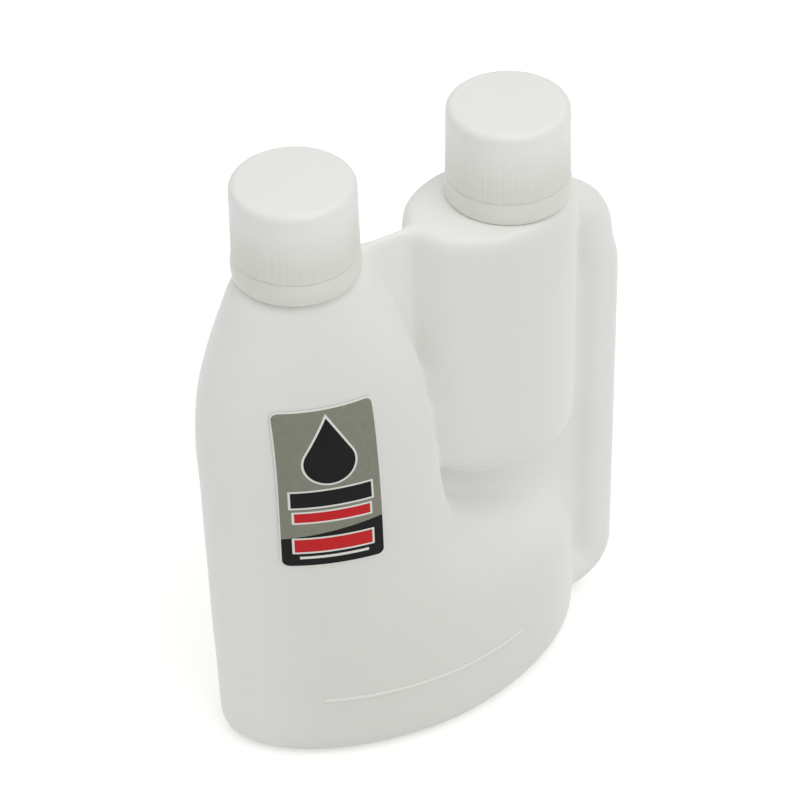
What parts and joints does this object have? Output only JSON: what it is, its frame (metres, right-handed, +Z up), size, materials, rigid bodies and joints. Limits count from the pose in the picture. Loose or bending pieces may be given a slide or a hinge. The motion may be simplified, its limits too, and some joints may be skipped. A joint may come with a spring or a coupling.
{
  "type": "fuel mixing bottle",
  "caption": "Squeeze-and-dose bottle with a reservoir, a measuring chamber, a side feed tube and ribbed screw caps, for carrying and metering engine oil.",
  "frame": {"origin": "on the ground below the middle of the whole bottle", "axes": "+X along the width from the reservoir to the chamber, -Y to the front, +Z up along the necks"},
  "size_m": [0.1184, 0.0589, 0.1632],
  "materials": {
    "natural_hdpe": "translucent natural polyethylene, satin",
    "cap_white": "moulded natural polyethylene, satin",
    "foam_wad": "foamed polyethylene wad",
    "label_film": "printed self-adhesive film"
  },
  "bodies": {
    "bottle": {"bottle": "natural_hdpe", "label": "label_film", "reservoir_neck_band": "cap_white", "dosing_neck_band": "cap_white"},
    "reservoir_cap_liner": {"reservoir_cap_liner": "foam_wad"},
    "reservoir_cap": {"reservoir_cap": "cap_white"},
    "dosing_cap_liner": {"dosing_cap_liner": "foam_wad"},
    "dosing_cap": {"dosing_cap": "cap_white"}
  },
  "joints": [
    {"name": "reservoir_cap_rise", "type": "slide", "parent": "bottle", "child": "reservoir_cap_liner", "axis": [0, 0, 1], "range_m": [0, 0.01906]},
    {"name": "reservoir_cap_turn", "type": "hinge", "parent": "reservoir_cap_liner", "child": "reservoir_cap", "pos_m": [-0.03102, 0, 0.15], "axis": [0, 0, 1], "range_deg": [0, 1620]},
    {"name": "dosing_cap_rise", "type": "slide", "parent": "bottle", "child": "dosing_cap_liner", "axis": [0, 0, 1], "range_m": [0, 0.01906]},
    {"name": "dosing_cap_turn", "type": "hinge", "parent": "dosing_cap_liner", "child": "dosing_cap", "pos_m": [0.02718, 0, 0.15], "axis": [0, 0, 1], "range_deg": [0, 1620]}
  ],
  "couplings": [
    {"joint": "reservoir_cap_rise", "follows": "reservoir_cap_turn", "m_per_rad": 0.00067376},
    {"joint": "dosing_cap_rise", "follows": "dosing_cap_turn", "m_per_rad": 0.00067376}
  ]
}
